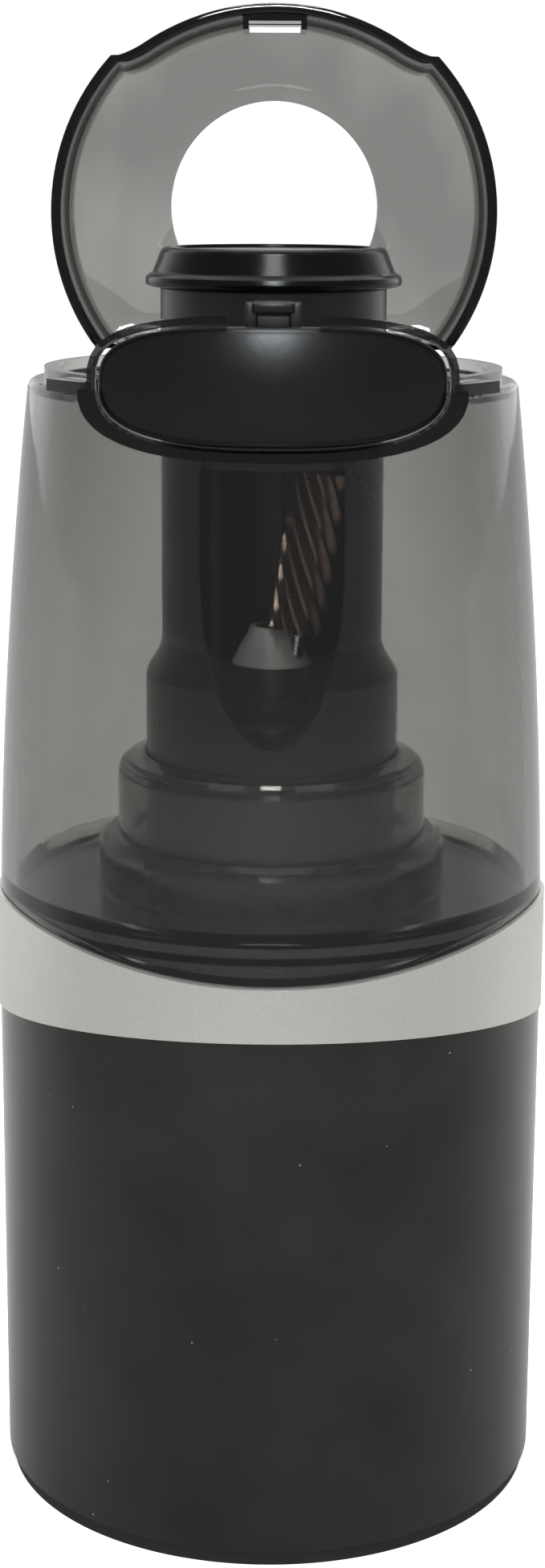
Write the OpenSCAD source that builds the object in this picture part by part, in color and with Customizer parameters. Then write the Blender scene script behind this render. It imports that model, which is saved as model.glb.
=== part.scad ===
// Battery pencil sharpener: a round base with the motor and cells, a smoke-clear shavings bin that
// lifts off over the cutter column, and a hinged lid that a rocking front plate latches shut.
// Origin: centre of the foot ring's underside. +Z up, the front faces -Y. The lid stands open.

/* [Base] */
// Radius of the base shell
body_r = 40; // [39:0.5:41]
// Wall of the base shell
shell_wall = 2.2; // [1.8:0.1:2.6]
// Height of the rubber foot ring
foot_h = 2.2; // [1.5:0.1:3]
// Height of the silver band's lower edge at the sides
band_low_z = 71.3; // [68:0.1:74]
// Rise of the band's lower edge from side to front
band_low_rise = 6.34; // [4:0.01:8]
// How far the band stands proud of the shell
band_proud = 0.3; // [0.1:0.1:0.5]
// Top face of the black deck under the bin
deck_z = 87.7; // [87:0.1:88]

/* [Column] */
// Radius of the upper column
column_r = 15.9; // [15.5:0.1:16.2]
// Radius of the column's foot
column_foot_r = 18.2; // [17.8:0.1:18.3]
// Top of the column, under the guide cap
column_top_z = 175.7; // [175:0.1:176]
// Half width of the column's front window
window_half_w = 10; // [8:0.5:10.5]
// Lowest point of the window
window_low_z = 113; // [112:0.5:116]
// Height at which the window reaches its full width
window_full_z = 137; // [134:0.5:140]
// Top edge of the window
window_top_z = 153.6; // [149:0.1:153.8]

/* [Bin] */
// Top face of the bin's shoulder
shoulder_z = 163.2; // [163:0.1:163.5]
// Top of the raised lip that the lid closes on
lip_z = 164.9; // [164.5:0.1:165]
// Wall of the bin
bin_wall = 2.2; // [1.8:0.1:2.4]
// Outer radius of the clear tube around the column
tube_r = 22.5; // [22:0.1:23]

/* [Lid] */
// Radius of the lid's drum
lid_r = 32.9; // [32.5:0.1:33]
// How far the drum's centre lies behind the column's axis
lid_set_back = 0.9; // [0.5:0.1:1]
// Height of the closed lid's top face
lid_top_z = 182.4; // [182.2:0.1:183]
// Radius of the hole that the guide cap comes through
lid_hole_r = 15.75; // [15.7:0.05:16]
// Distance of the hinge axis behind the column's axis
hinge_y = 20.7; // [20.5:0.1:20.9]
// Angle of the lid as drawn, from closed
lid_open_deg = 90; // [0:1:90]

/* [Latch] */
// Centre height of the front plate
plate_z = 164.7; // [164:0.1:165]
// Half width of the front plate
plate_half_w = 22.7; // [21:0.1:23]
// Half height of the front plate
plate_half_h = 7.75; // [7:0.05:8]
// Radius of the plate's curved front
plate_front_r = 38.4; // [38:0.1:38.6]

/* [Gears and cutter] */
// Module of every gear
gear_m = 0.6; // [0.6:0.1:0.6]
// Teeth on the motor pinion
pinion_n = 10; // [10:1:10]
// Teeth on the large wheel of the compound gear
wheel_n = 36; // [36:1:36]
// Teeth on the small wheel of the compound gear
step_n = 12; // [12:1:12]
// Teeth on the output gear
output_n = 34; // [34:1:34]
// Teeth on the cutter's pinion
planet_n = 12; // [12:1:12]
// Teeth inside the fixed ring gear
ring_n = 44; // [44:1:44]
// Radius of the helical cutter
cutter_r = 4.6; // [4:0.1:4.6]
// Tilt of the cutter's axis from vertical
cutter_tilt = 10; // [9:0.5:10]
// Direction of the cutter around the column as drawn
cutter_az = -40; // [-60:5:-30]
// Radius of the pencil bore
pencil_r = 4.1; // [3.9:0.05:4.2]

/* [Hidden] */
$fn = 96;
eps = 0.01;
far = 120;
run_gap = 0.05;

// The arched joint between band and bin is a cylinder lying along X.
arch_r = 94.1;
arch_y = -10.75;
arch_z = -4.18;
arch_gap = 0.3;
band_t = 1.4;
band_in_r = body_r + band_proud - band_t;
shell_in_r = body_r - shell_wall;
foot_r = 39.3;
foot_in_r = 34.2;

// Deck: a shallow cap with a skirt that fits inside the shell
deck_r = 37.2;
deck_in_r = 35.4;
deck_t = 2;
deck_low_z = 72;

// The bin's wall is part of a barrel: a circle of barrel_r, upright at barrel_z.
barrel_r = 832;
barrel_z = 68;
barrel_fn = 720;
bin_floor_z = 88;
bin_floor_t = 2;
skirt_r = 37.7;
lip_r = 32.3;
lip_in_r = 30.6;
tube_t = 1.8;
tube_in_r = 18.6;

// Base plate and battery door
plate_low_z = foot_h;
plate_t = 2.4;
door_r = 32.5;
door_seat_r = 33;
door_z = 2;
door_lug_z = 4.9;
door_lug_t = 1.2;
door_lug_r = 34.6;
door_lug_deg = 22;
door_riser_in_r = 31.1;
door_turn = 25;
thirds = [0, 120, 240];

// Cells, holder and motor
cell_r = 7.1;
cell_z = 7.4;
cell_len = 49.2;
cell_ring_r = 27;
well_r = 7.5;
well_wall = 0.9;
holder_top_z = 60;
motor_r = 12;
motor_low_z = 29;
quarters = [0, 90, 180, 270];
screw_ring_r = 35.4;
screw_degs = [45, 135, 225, 315];
lead_ring_r = 20.4;
lead_degs = [225, 315];
lead_r = 0.6;

// Gear train
pinion_z = 63.4;
wheel_z = 64;
wheel_t = 3.4;
output_z = 70.4;
shaft_low_z = 69.8;
gear_dist = (pinion_n + wheel_n) * gear_m / 2;
train_deg = 45;
lower_plate_z = 60;
train_plate_t = 2;
upper_plate_z = 75;
train_plate_r = 32;
upper_plate_r = 35.2;
post_ring_r = 28.3;
deck_screw_ring_r = 33.3;
column_screw_ring_r = 16.2;
post_degs = [105, 225, 345];
gear_addendum = 0.9 * gear_m;
gear_dedendum = 1.2 * gear_m;
gear_slack = 0.11;
pressure_deg = 20;
shaft_r = 2;
motor_shaft_r = 1;
thrust_z = 80.6;

// Cutter: its local frame starts at the pencil's tip end and runs up along the tilted axis.
cutter_low_z = 128;
cutter_len = 24;
planet_low = 24.5;
planet_t = 3;
planet_mid = planet_low + planet_t / 2;
ring_dist = (ring_n - planet_n) * gear_m / 2;
cutter_x = ring_dist - planet_mid * sin(cutter_tilt);
ring_z = 151.6;
ring_t = 4;
ring_out_r = 15;
column_bore_r = 14.4;
column_seat_r = 15.05;
web_low_z = 109;
web_top_z = 112.2;
axle_r = 1;
cage_z = 156.8;
cage_t = 1.8;

// Hinge
hinge_z = 165.5;
lug_r = 2;
hinge_pin_r = 0.9;
hinge_lug_x = [-22, -2.2, 17.6];
lug_w = 4.4;
lug_play = 0.3;

// Latch
plate_pin_y = -33.9;
plate_pin_r = 0.7;
plate_gap = 0.45;
hook_half_w = 3.6;
hook_top_z = 175.6;
nose_tip_y = -29.45;

// Lid: its front edge is a shallow arc that curls level before it meets a notch at each end.
lid_wall = 1.5;
lid_low_z = 165.2;
arch_front_y = -29.15;
front_arc_r = 35;
curl_x = 19;
curl_bend = 0.047;
notch_x = 23.6;
front_lean = 2;
catch_half_w = 4.65;
catch_slot_half_w = 3.8;

black = "#1b1a19";
smoke = [0.35, 0.37, 0.38, 0.45];
steel = "#b9bbbd";
brass = "#c9a24a";
acetal = "#e6e2d6";
frame_grey = "#3c3f42";

// ---------- shared shapes ----------

// Outer radius of the bin's barrel-shaped wall at height z.
function barrel_at(z) = body_r - pow(z - barrel_z, 2) / (2 * barrel_r);

module tube(r_out, r_in, h, z = 0) {
    translate([0, 0, z])
        difference() {
            cylinder(r = r_out, h = h);
            translate([0, 0, -eps])
                cylinder(r = r_in, h = h + 2 * eps);
        }
}

module polar(r, deg, z = 0) {
    rotate([0, 0, deg])
        translate([r, 0, z])
            children();
}

// A wedge of a disc, from -half_deg to +half_deg about direction deg.
module sector(deg, half_deg, r, h, z) {
    rotate([0, 0, deg - half_deg])
        translate([0, 0, z])
            rotate_extrude(angle = 2 * half_deg)
                square([r, h]);
}

module screw(head_r, head_h, shank_r, shank_h, z) {
    translate([0, 0, z])
        difference() {
            union() {
                cylinder(r = head_r, h = head_h, $fn = 32);
                translate([0, 0, head_h - eps])
                    cylinder(r = shank_r, h = shank_h, $fn = 32);
            }
            for (a = [0, 90])
                rotate([0, 0, a])
                    translate([-head_r * 0.6, -0.25, -eps])
                        cube([head_r * 1.2, 0.5, head_h * 0.6]);
        }
}

// Spur teeth with straight flanks. A tooth is centred on +X.
function tooth(n, k, slack, add, ded) =
    let (
        pitch_r = n * gear_m / 2,
        half_mm = PI * gear_m / 4 - slack,
        at = k * 360 / n,
        tip_r = pitch_r + add,
        root_r = pitch_r - ded,
        tip_deg = (half_mm - add * tan(pressure_deg)) / tip_r * 180 / PI,
        root_deg = (half_mm + ded * tan(pressure_deg)) / root_r * 180 / PI
    )
    [
        [root_r * cos(at - root_deg), root_r * sin(at - root_deg)],
        [tip_r * cos(at - tip_deg), tip_r * sin(at - tip_deg)],
        [tip_r * cos(at + tip_deg), tip_r * sin(at + tip_deg)],
        [root_r * cos(at + root_deg), root_r * sin(at + root_deg)]
    ];

function gear_points(n) =
    [for (k = [0:n - 1]) each tooth(n, k, gear_slack, gear_addendum, gear_dedendum)];

// Space left by an internal gear: its teeth point inwards, and a gap is centred on +X.
function ring_points(n) =
    [for (k = [0:n - 1]) each tooth(n, k, -gear_slack, 1.75 * gear_m, 0.75 * gear_m)];

module spur(n, h) {
    linear_extrude(height = h)
        polygon(gear_points(n));
}

// A round wire wound up a cone from r0 to r1: one closed tube of six-sided rings.
module helix_wire(r0, r1, h, turns, wire_r) {
    sides = 6;
    steps = round(turns * 16);
    points = [
        for (i = [0:steps])
            let (
                t = i / steps,
                a = 360 * turns * t,
                r = r0 + (r1 - r0) * t
            )
            for (s = [0:sides - 1])
                let (b = 360 * s / sides)
                [
                    (r + wire_r * cos(b)) * cos(a),
                    (r + wire_r * cos(b)) * sin(a),
                    h * t + wire_r * sin(b)
                ]
    ];
    sides_faces = [
        for (i = [0:steps - 1], s = [0:sides - 1])
            let (n = (s + 1) % sides)
            [i * sides + s, (i + 1) * sides + s, (i + 1) * sides + n, i * sides + n]
    ];
    low_end = [for (s = [0:sides - 1]) s];
    high_end = [for (s = [sides - 1:-1:0]) steps * sides + s];
    polyhedron(points = points, faces = concat(sides_faces, [low_end, high_end]));
}

// A lead laid along straight runs with round corners.
module lead(points, r) {
    for (i = [0:len(points) - 2]) {
        run = points[i + 1] - points[i];
        translate(points[i])
            rotate([0, acos(run[2] / norm(run)), atan2(run[1], run[0])])
                cylinder(r = r, h = norm(run), $fn = 24);
    }
    for (i = [1:len(points) - 2])
        translate(points[i])
            sphere(r = 1.08 * r, $fn = 24);
}

// Everything under the arched joint, raised by lift.
module under_arch(lift = 0) {
    translate([-far, arch_y, arch_z])
        rotate([0, 90, 0])
            cylinder(r = arch_r + lift, h = 2 * far, $fn = 360);
}

// The cutter's own frame.
module at_cutter() {
    rotate([0, 0, cutter_az])
        translate([cutter_x, 0, cutter_low_z])
            rotate([0, cutter_tilt, 0])
                children();
}

module at_compound(z) {
    rotate([0, 0, train_deg])
        translate([gear_dist, 0, z])
            children();
}

// ---------- base ----------

module base_shell() {
    color(black) {
        difference() {
            intersection() {
                union() {
                    translate([0, 0, foot_h])
                        cylinder(r = band_in_r - run_gap, h = 90);
                    difference() {
                        translate([0, 0, foot_h])
                            cylinder(r = body_r, h = 90);
                        above_band_foot();
                    }
                }
                under_arch();
            }
            translate([0, 0, -eps])
                cylinder(r = shell_in_r, h = 100);
        }
        for (a = screw_degs)
            polar(screw_ring_r, a)
                shell_boss();
    }
}

// Half space above the band's tilted lower edge.
module above_band_foot() {
    translate([0, 0, band_low_z])
        rotate([-atan(band_low_rise / body_r), 0, 0])
            translate([-far, -far, 0])
                cube([2 * far, 2 * far, far]);
}

module shell_boss() {
    intersection() {
        tube(2.6, 1.05, 10, plate_low_z + plate_t + 0.1);
        translate([-screw_ring_r, 0, 0])
            cylinder(r = shell_in_r + 0.4, h = 30);
    }
}

module silver_band() {
    color("#c9c5bf")
        intersection() {
            tube(body_r + band_proud, band_in_r, 60, 50);
            above_band_foot();
            under_arch();
        }
}

module foot_ring() {
    color("#232527")
        difference() {
            rotate_extrude()
                difference() {
                    translate([foot_in_r, 0])
                        square([foot_r - foot_in_r, foot_h]);
                    translate([foot_in_r + 3.8, -eps])
                        square([0.6, 0.6]);
                }
            for (a = screw_degs)
                polar(screw_ring_r, a, -1)
                    cylinder(r = 2.15, h = foot_h + 2, $fn = 32);
        }
}

module base_plate() {
    color(black)
        difference() {
            translate([0, 0, plate_low_z])
                cylinder(r = shell_in_r - run_gap, h = plate_t);
            translate([0, 0, 1])
                cylinder(r = door_seat_r, h = 6);
            for (a = quarters)
                sector(a + door_turn, door_lug_deg / 2 + 2, door_lug_r + 0.4, 6, 1);
            for (a = screw_degs)
                polar(screw_ring_r, a, 1)
                    cylinder(r = 1.25, h = 6, $fn = 32);
        }
}

module base_screws() {
    color(steel)
        for (a = screw_degs)
            polar(screw_ring_r, a)
                screw(1.9, 1.3, 1.2, 8, foot_h - 1.32);
}

module battery_door() {
    color(black) {
        difference() {
            translate([0, 0, door_z])
                cylinder(r = door_r, h = plate_t);
            for (x = [-1, 1])
                translate([x * 13, 0, door_z - eps])
                    linear_extrude(height = 1.2)
                        hull() {
                            translate([0, 8])
                                circle(r = 4, $fn = 32);
                            translate([0, -8])
                                circle(r = 4, $fn = 32);
                        }
        }
        for (a = quarters)
            intersection() {
                tube(door_lug_r, door_riser_in_r, door_lug_t, door_lug_z);
                sector(a, door_lug_deg / 2, door_lug_r + 2, door_lug_t + 2, door_lug_z - 1);
            }
        for (a = quarters)
            intersection() {
                tube(door_r, door_riser_in_r, 2.5, door_z + 1);
                sector(a, door_lug_deg / 2, door_r + 2, 2.5, door_z + 1);
            }
    }
}

module door_contacts() {
    color(steel)
        for (a = [45, 225])
            intersection() {
                tube(cell_ring_r + 4, cell_ring_r - 4, 0.3, door_z + plate_t);
                sector(a, 56, 40, 2, door_z + plate_t - 1);
            }
}

module battery_springs() {
    color(steel)
        for (a = [0, 180])
            polar(cell_ring_r, a, door_z + plate_t + 0.7)
                helix_wire(3.6, 2.2, 1.8, 2.5, 0.35);
}

module battery_holder() {
    well_low_z = 7.5;
    color("#2a2b2d")
        difference() {
            union() {
                for (a = quarters)
                    polar(cell_ring_r, a, well_low_z)
                        cylinder(r = well_r + well_wall, h = holder_top_z - well_low_z);
                translate([0, 0, motor_low_z - 9])
                    cylinder(r = motor_r + 3, h = holder_top_z - motor_low_z + 9);
                translate([0, 0, holder_top_z - 1.6])
                    cylinder(r = 36.2, h = 1.6);
                for (a = quarters)
                    rotate([0, 0, a])
                        translate([12.5, -1, 20])
                            cube([10, 2, 38]);
            }
            for (a = quarters)
                polar(cell_ring_r, a, well_low_z - 1)
                    cylinder(r = well_r, h = holder_top_z - well_low_z - 0.6);
            translate([0, 0, 10])
                cylinder(r = motor_r + 0.3, h = far);
            for (a = lead_degs)
                polar(lead_ring_r, a, holder_top_z - 10)
                    cylinder(r = 2.2, h = 20, $fn = 32);
        }
}

module aa_cells() {
    nub_r = 2.7;
    nub_h = 1;
    color("#5c6e7a")
        for (i = [0:3])
            polar(cell_ring_r, quarters[i], cell_z + cell_len / 2)
                rotate([i % 2 == 0 ? 0 : 180, 0, 0])
                    translate([0, 0, -cell_len / 2]) {
                        cylinder(r = cell_r, h = cell_len);
                        translate([0, 0, cell_len - eps])
                            cylinder(r = nub_r, h = nub_h);
                    }
}

module top_contacts() {
    color(steel)
        for (a = [135, 315])
            intersection() {
                tube(cell_ring_r + 4, cell_ring_r - 4, 0.3, holder_top_z - 1.6 - 0.35);
                sector(a, 56, 40, 2, holder_top_z - 3);
                union()
                    for (q = quarters)
                        polar(cell_ring_r, q, holder_top_z - 4)
                            cylinder(r = well_r - 0.1, h = 3);
            }
}

// ---------- motor ----------

module motor_can() {
    boss_h = train_plate_t - 0.1;
    color(steel)
        difference() {
            union() {
                translate([0, 0, motor_low_z])
                    cylinder(r = motor_r, h = holder_top_z - motor_low_z);
                translate([0, 0, holder_top_z - eps])
                    cylinder(r = 3, h = boss_h);
            }
            translate([0, 0, motor_low_z - 1])
                cylinder(r = motor_r - 0.8, h = holder_top_z - motor_low_z);
            translate([0, 0, 50])
                cylinder(r = motor_shaft_r + run_gap, h = 20, $fn = 48);
        }
}

module motor_magnets() {
    color("#3a3a3c")
        for (a = [0, 180])
            intersection() {
                tube(motor_r - 0.8, motor_r - 3.4, 20, motor_low_z + 6);
                sector(a, 62, 20, 22, motor_low_z + 5);
            }
}

module motor_endcap() {
    color("#e8e4da")
        difference() {
            union() {
                translate([0, 0, motor_low_z - 2])
                    cylinder(r = motor_r, h = 2);
                translate([0, 0, motor_low_z - eps])
                    cylinder(r = motor_r - 0.85, h = 3);
                translate([0, 0, motor_low_z - 4])
                    cylinder(r = 3.2, h = 2.2);
                for (a = [0, 180])
                    polar(8, a, motor_low_z - 5.5)
                        translate([-0.3, -1.2, 0])
                            cube([0.6, 2.4, 4]);
            }
            translate([0, 0, motor_low_z - 10])
                cylinder(r = motor_shaft_r + run_gap, h = 20, $fn = 48);
        }
}

module motor_shaft() {
    color(steel)
        translate([0, 0, motor_low_z - 3.4])
            cylinder(r = motor_shaft_r, h = 42.4, $fn = 48);
}

module motor_armature() {
    core_r = 8.1;
    color("#a8683a")
        translate([0, 0, motor_low_z + 8])
            difference() {
                union() {
                    cylinder(r = 3.4, h = 16);
                    for (a = thirds)
                        rotate([0, 0, a]) {
                            translate([0, -1.4, 0])
                                cube([core_r - 0.6, 2.8, 16]);
                            intersection() {
                                tube(core_r, core_r - 1.4, 16);
                                sector(0, 44, 20, 18, -1);
                            }
                        }
                    translate([0, 0, -5])
                        cylinder(r = 2.6, h = 6);
                }
                translate([0, 0, -10])
                    cylinder(r = motor_shaft_r - eps, h = 40, $fn = 48);
            }
}

module motor_pinion() {
    // A tooth of the pinion points along train_deg.
    color(brass)
        translate([0, 0, pinion_z])
            rotate([0, 0, train_deg])
                difference() {
                    spur(pinion_n, 4.6);
                    translate([0, 0, -1])
                        cylinder(r = motor_shaft_r - eps, h = 8, $fn = 48);
                }
}

// ---------- gear train ----------

module gear_plate_lower() {
    color(frame_grey)
        difference() {
            union() {
                translate([0, 0, lower_plate_z])
                    cylinder(r = train_plate_r, h = train_plate_t);
                for (a = post_degs)
                    polar(post_ring_r, a, lower_plate_z)
                        cylinder(r = 2.6, h = upper_plate_z - lower_plate_z);
            }
            translate([0, 0, 50])
                cylinder(r = 3 + run_gap, h = 20);
            at_compound(50)
                cylinder(r = axle_r, h = 20, $fn = 48);
            for (a = post_degs)
                polar(post_ring_r, a, upper_plate_z - 7)
                    cylinder(r = 1, h = 10, $fn = 32);
            lead_holes(50);
        }
}

// Holes that the two leads pass through.
module lead_holes(z) {
    for (a = lead_degs)
        polar(lead_ring_r, a, z)
            cylinder(r = lead_r + 0.8, h = 30, $fn = 32);
}

module gear_plate_upper() {
    color(frame_grey)
        difference() {
            translate([0, 0, upper_plate_z])
                cylinder(r = upper_plate_r, h = train_plate_t);
            translate([0, 0, 70])
                cylinder(r = 4, h = 20);
            at_compound(70)
                cylinder(r = axle_r, h = 20, $fn = 48);
            for (a = post_degs)
                polar(post_ring_r, a, 70)
                    cylinder(r = 1.3, h = 20, $fn = 32);
            for (a = screw_degs)
                polar(deck_screw_ring_r, a, 70)
                    cylinder(r = 1.2, h = 20, $fn = 32);
            lead_holes(60);
        }
}

module gear_screws() {
    color(steel)
        for (a = post_degs)
            polar(post_ring_r, a, upper_plate_z + train_plate_t + 1.3)
                rotate([180, 0, 0])
                    screw(2.2, 1.3, 1, 7.5, 0);
}

module idler_axle() {
    color(steel)
        at_compound(lower_plate_z)
            cylinder(r = axle_r, h = upper_plate_z + train_plate_t - lower_plate_z, $fn = 48);
}

module shaft_bushing() {
    color(brass)
        tube(4, shaft_r + run_gap, train_plate_t, upper_plate_z);
}

module compound_gear() {
    // A gap of the large wheel faces the pinion; a tooth of the small wheel faces the output gear.
    color(acetal)
        at_compound(0)
            difference() {
                union() {
                    translate([0, 0, wheel_z])
                        rotate([0, 0, 180 + 180 / wheel_n])
                            spur(wheel_n, wheel_t);
                    translate([0, 0, wheel_z + wheel_t - eps])
                        rotate([0, 0, 180])
                            spur(step_n, 7);
                }
                translate([0, 0, 60])
                    cylinder(r = axle_r + run_gap, h = 20, $fn = 48);
            }
}

module output_gear() {
    color(acetal)
        translate([0, 0, output_z])
            rotate([0, 0, train_deg + 180 / output_n])
                difference() {
                    union() {
                        spur(output_n, wheel_t);
                        cylinder(r = 4.5, h = 4.2);
                    }
                    translate([0, 0, -1])
                        cylinder(r = shaft_r - eps, h = 8);
                }
}

module drive_shaft() {
    color(steel) {
        translate([0, 0, shaft_low_z])
            cylinder(r = shaft_r, h = 47);
        translate([0, 0, thrust_z + 2.5])
            cylinder(r = 3.8, h = 1.2);
    }
}

module thrust_cup() {
    color(acetal) {
        tube(4.8, shaft_r + run_gap, 2.2, thrust_z);
        translate([4.5, -1.5, thrust_z])
            cube([5.5, 3, 1.4]);
    }
}

module return_spring() {
    color(steel)
        translate([0, 0, upper_plate_z + train_plate_t + 0.3])
            helix_wire(3.4, 3.4, thrust_z - upper_plate_z - train_plate_t - 0.6, 3, 0.22);
}

module start_switch() {
    floor_z = upper_plate_z + train_plate_t;
    color("#2b2320") {
        translate([10.6, -3, floor_z])
            cube([4.4, 6, 3]);
        translate([7.2, -1, floor_z + 1.4])
            cube([3.6, 2, 0.3]);
    }
}

module interlock_switch() {
    floor_z = upper_plate_z + train_plate_t;
    color("#2b2320") {
        translate([-3, 22, floor_z])
            cube([6, 4.5, 3.6]);
        translate([-1.2, 26.4, floor_z + 3])
            cube([2.4, 4.6, 0.3]);
    }
}

// Each lead leaves a motor tab, dips under the holder and rises through both gear plates.
module lead_red() {
    rise = lead_ring_r / sqrt(2);
    color("#b02a22")
        lead([[9.05, -0.9, 24.6], [9.05, -5, 18.3], [rise, -rise, 18.3],
              [rise, -rise, 79.2], [12.8, -3.1, 79.2]], lead_r);
}

module lead_black() {
    rise = lead_ring_r / sqrt(2);
    color("#222222")
        lead([[-9.05, -0.9, 24.6], [-9.05, -5, 18.3], [-rise, -rise, 18.3],
              [-rise, -rise, 79.2], [-20, 10, 79.2], [-3.6, 23.8, 79.2]], lead_r);
}

// ---------- deck and column ----------

module deck() {
    color(black)
        difference() {
            translate([0, 0, deck_low_z])
                cylinder(r = deck_r, h = deck_z - deck_low_z);
            translate([0, 0, deck_low_z - 1])
                cylinder(r = deck_in_r, h = deck_z - deck_t - deck_low_z + 1);
            translate([0, 0, 80])
                cylinder(r = 5.2, h = 20);
            for (a = thirds)
                polar(column_screw_ring_r, a + 30, 80)
                    cylinder(r = 1.3, h = 20, $fn = 32);
            translate([-3.4, 29.6, 80])
                cube([6.8, 3.2, 20]);
        }
    boss_z = upper_plate_z + train_plate_t + 0.02;
    color(black)
        for (a = screw_degs)
            intersection() {
                polar(deck_screw_ring_r, a)
                    tube(2.5, 1, deck_z - 1.8 - boss_z, boss_z);
                cylinder(r = 36, h = far);
            }
}

module deck_screws() {
    color(steel)
        for (a = screw_degs)
            polar(deck_screw_ring_r, a)
                screw(1.9, 1.3, 1.01, 8, upper_plate_z - 1.32);
}

module column_housing() {
    color(black)
        difference() {
            rotate_extrude()
                polygon([
                    [0, deck_z], [column_foot_r, deck_z], [column_foot_r, 121],
                    [column_foot_r - 0.4, 122.2], [column_r + 0.5, 124.3],
                    [column_r, 126], [column_r, column_top_z], [0, column_top_z]
                ]);
            translate([0, 0, deck_z - 1])
                cylinder(r = column_bore_r, h = web_low_z - deck_z + 1);
            translate([0, 0, web_top_z])
                cylinder(r = column_bore_r, h = 60);
            translate([0, 0, ring_z])
                cylinder(r = column_seat_r, h = 30);
            translate([0, 0, 100])
                cylinder(r = 4, h = 20);
            for (a = thirds)
                polar(column_screw_ring_r, a + 30, deck_z - 1)
                    cylinder(r = 1, h = 8, $fn = 32);
            column_window();
        }
}

module column_window() {
    half_ellipse = [
        for (a = [180:12:360])
            [window_half_w * cos(a), window_full_z + (window_full_z - window_low_z) * sin(a)]
    ];
    corner = 2.4;
    top_corners = [
        for (a = [0:30:90])
            [window_half_w - corner + corner * cos(a), window_top_z - corner + corner * sin(a)],
        for (a = [90:30:180])
            [corner - window_half_w + corner * cos(a), window_top_z - corner + corner * sin(a)]
    ];
    rotate([90, 0, 0])
        linear_extrude(height = 30)
            polygon(concat(half_ellipse, top_corners));
}

module column_screws() {
    color(steel)
        for (a = thirds)
            polar(column_screw_ring_r, a + 30)
                screw(2.2, 1.3, 0.98, 8, deck_z - deck_t - 1.3);
}

module column_bushing() {
    color(brass)
        difference() {
            union() {
                translate([0, 0, web_low_z + 0.4])
                    cylinder(r = 4, h = 3.9);
                translate([0, 0, web_top_z])
                    cylinder(r = 5.4, h = 1.1);
            }
            translate([0, 0, 100])
                cylinder(r = shaft_r + run_gap, h = 20);
        }
}

module ring_gear() {
    color("#26282b")
        translate([0, 0, ring_z])
            rotate([0, 0, cutter_az])
                difference() {
                    cylinder(r = ring_out_r, h = ring_t);
                    translate([0, 0, -1])
                        linear_extrude(height = ring_t + 2)
                            polygon(ring_points(ring_n));
                }
}

// ---------- carrier and cutter ----------

module cutter_carrier() {
    arm_r = 12.1;
    color("#26282b")
        difference() {
            union() {
                rotate_extrude()
                    polygon([
                        [0, 114.6], [12.4, 114.6], [12.4, 115.6], [5.8, 116], [5.8, 117.8],
                        [5.2, 118], [5.2, 122], [5.7, 122.2], [5.7, 122.6], [3.1, 127.7],
                        [0, 127.7]
                    ]);
                for (a = [95, 158, 214])
                    intersection() {
                        tube(arm_r, arm_r - 1.8, cage_z + 1 - 115, 115);
                        sector(a, 11, 20, 60, 110);
                    }
                intersection() {
                    tube(arm_r, arm_r - 1.6, 1, 138.6);
                    sector(155, 66, 20, 3, 138);
                }
                translate([0, 0, cage_z])
                    cylinder(r = 13.6, h = cage_t);
            }
            translate([0, 0, 150])
                cylinder(r = 5, h = 20);
            translate([0, 0, 110])
                cylinder(r = shaft_r - eps, h = 6.8);
            at_cutter()
                translate([0, 0, -20])
                    cylinder(r = axle_r - eps, h = 60, $fn = 48);
        }
}

module cutter_axle() {
    color(steel)
        at_cutter()
            translate([0, 0, -5.5])
                cylinder(r = axle_r, h = 38, $fn = 48);
}

module axle_clip() {
    clip_z = 31.66;
    color("#2c2c2e")
        at_cutter()
            difference() {
                translate([0, 0, clip_z])
                    cylinder(r = 2.1, h = 0.4, $fn = 48);
                translate([0, 0, clip_z - 0.5])
                    cylinder(r = axle_r, h = 1.4, $fn = 48);
                translate([0, -0.6, clip_z - 0.5])
                    cube([3, 1.2, 1.4]);
            }
}

module helical_cutter() {
    flutes = 14;
    depth = 0.85;
    color("#8d8f92")
        at_cutter()
            difference() {
                union() {
                    linear_extrude(height = cutter_len - 0.6, twist = 140, slices = 20)
                        polygon([
                            for (k = [0:flutes - 1])
                                each [
                                    cutter_r * [cos(k * 360 / flutes), sin(k * 360 / flutes)],
                                    (cutter_r - 0.1) * [cos((k + 0.22) * 360 / flutes),
                                                        sin((k + 0.22) * 360 / flutes)],
                                    (cutter_r - depth) * [cos((k + 0.4) * 360 / flutes),
                                                          sin((k + 0.4) * 360 / flutes)]
                                ]
                        ]);
                    translate([0, 0, cutter_len - 0.7])
                        cylinder(r = 2.3, h = 1.2);
                }
                translate([0, 0, -1])
                    cylinder(r = axle_r + run_gap, h = 40, $fn = 48);
            }
}

module cutter_pinion() {
    // A tooth points outwards, into a gap of the ring gear.
    color(brass)
        at_cutter()
            translate([0, 0, planet_low])
                difference() {
                    spur(planet_n, planet_t);
                    translate([0, 0, -1])
                        cylinder(r = axle_r + run_gap, h = 8, $fn = 48);
                }
}

// ---------- guide cap ----------

module guide_cap() {
    color(black)
        difference() {
            rotate_extrude()
                polygon([
                    [0, 167], [14.75, 167], [14.75, column_top_z + 0.2], [17.2, column_top_z + 0.2],
                    [17.9, 176.2], [18, 176.7], [17.9, 177.3], [17.4, 177.7],
                    [17, 177.9], [15.9, 180.7], [15.6, 181.1], [15.1, 181.3], [0, 181.3]
                ]);
            translate([0, 0, 160])
                cylinder(r = 12.8, h = 18);
            translate([0, 0, 170])
                cylinder(r = 6.5, h = 20);
            rotate_extrude()
                polygon([[0, 182], [14.2, 182], [14.2, 181], [6, 179.8], [0, 179.8]]);
        }
}

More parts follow.
